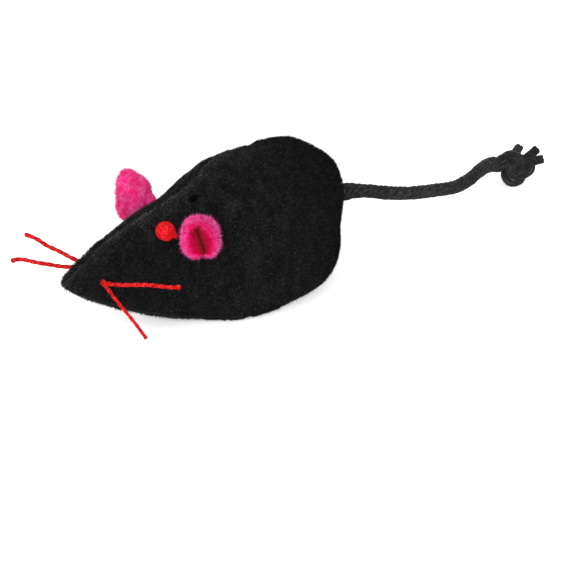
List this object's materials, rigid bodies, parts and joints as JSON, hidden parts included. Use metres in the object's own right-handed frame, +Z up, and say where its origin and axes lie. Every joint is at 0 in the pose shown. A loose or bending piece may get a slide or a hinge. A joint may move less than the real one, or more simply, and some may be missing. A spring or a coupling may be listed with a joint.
{
  "type": "catnip mouse",
  "caption": "Stuffed plush mouse for cats, sewn from cloth panels round catnip, with cupped ears, felt eyes, thread whiskers and a knotted cord tail.",
  "frame": {"origin": "on the floor under the middle of the body, measured without the tail and whiskers", "axes": "+X from the nose to the tail, +Y to the mouse's right side, +Z up"},
  "size_m": [0.1579, 0.0413, 0.0389],
  "materials": {
    "black_plush": "short soft pile",
    "black_thread": "matt thread",
    "fibre_fill": "loose fibre",
    "dried_herb": "crumbled leaf",
    "red_felt": "fuzzy felt",
    "pink_plush": "short soft pile",
    "red_thread": "twisted thread",
    "black_cord": "twisted cord with pale flecks"
  },
  "bodies": {
    "mouse_body": {"left_side_panel": "black_plush", "right_side_panel": "black_plush", "belly_panel": "black_plush", "dorsal_seam_thread": "black_thread", "left_belly_thread": "black_thread", "right_belly_thread": "black_thread", "head_stuffing": "fibre_fill", "rump_stuffing": "fibre_fill", "catnip_fill": "dried_herb", "left_eye": "red_felt", "right_eye": "red_felt", "tail_anchor": "black_cord"},
    "tail_root": {"tail_root": "black_cord"},
    "tail": {"tail_cord": "black_cord", "tail_knot": "black_cord", "tail_strand_1": "black_cord", "tail_strand_2": "black_cord", "tail_strand_3": "black_cord"},
    "left_ear": {"left_ear": "pink_plush"},
    "right_ear": {"right_ear": "pink_plush"},
    "upper_whisker": {"upper_whisker_thread": "red_thread"},
    "lower_whisker": {"lower_whisker_thread": "red_thread"}
  },
  "joints": [
    {"name": "tail_swing", "type": "hinge", "parent": "mouse_body", "child": "tail_root", "pos_m": [0.04195, 0, 0.01903], "axis": [0, 0, 1], "range_deg": [-50, 50]},
    {"name": "tail_lift", "type": "hinge", "parent": "tail_root", "child": "tail", "pos_m": [0.05073, -0.00147, 0.01787], "axis": [0, -1, 0], "range_deg": [0, 65]},
    {"name": "left_ear_fold", "type": "hinge", "parent": "mouse_body", "child": "left_ear", "pos_m": [-0.008, -0.01116, 0.02648], "axis": [0.1398, 0.1836, 0.973], "range_deg": [-20, 20], "stiffness_Nm_per_rad": 0.002},
    {"name": "right_ear_fold", "type": "hinge", "parent": "mouse_body", "child": "right_ear", "pos_m": [-0.008, 0.01116, 0.02648], "axis": [-0.1398, 0.1836, -0.973], "range_deg": [-20, 20], "stiffness_Nm_per_rad": 0.002},
    {"name": "upper_whisker_turn", "type": "hinge", "parent": "mouse_body", "child": "upper_whisker", "pos_m": [-0.03137, 0, 0.01778], "axis": [0, 1, 0], "range_deg": [-20, 20]},
    {"name": "lower_whisker_turn", "type": "hinge", "parent": "mouse_body", "child": "lower_whisker", "pos_m": [-0.0323, 0, 0.01646], "axis": [0, 1, 0], "range_deg": [-20, 20]}
  ]
}
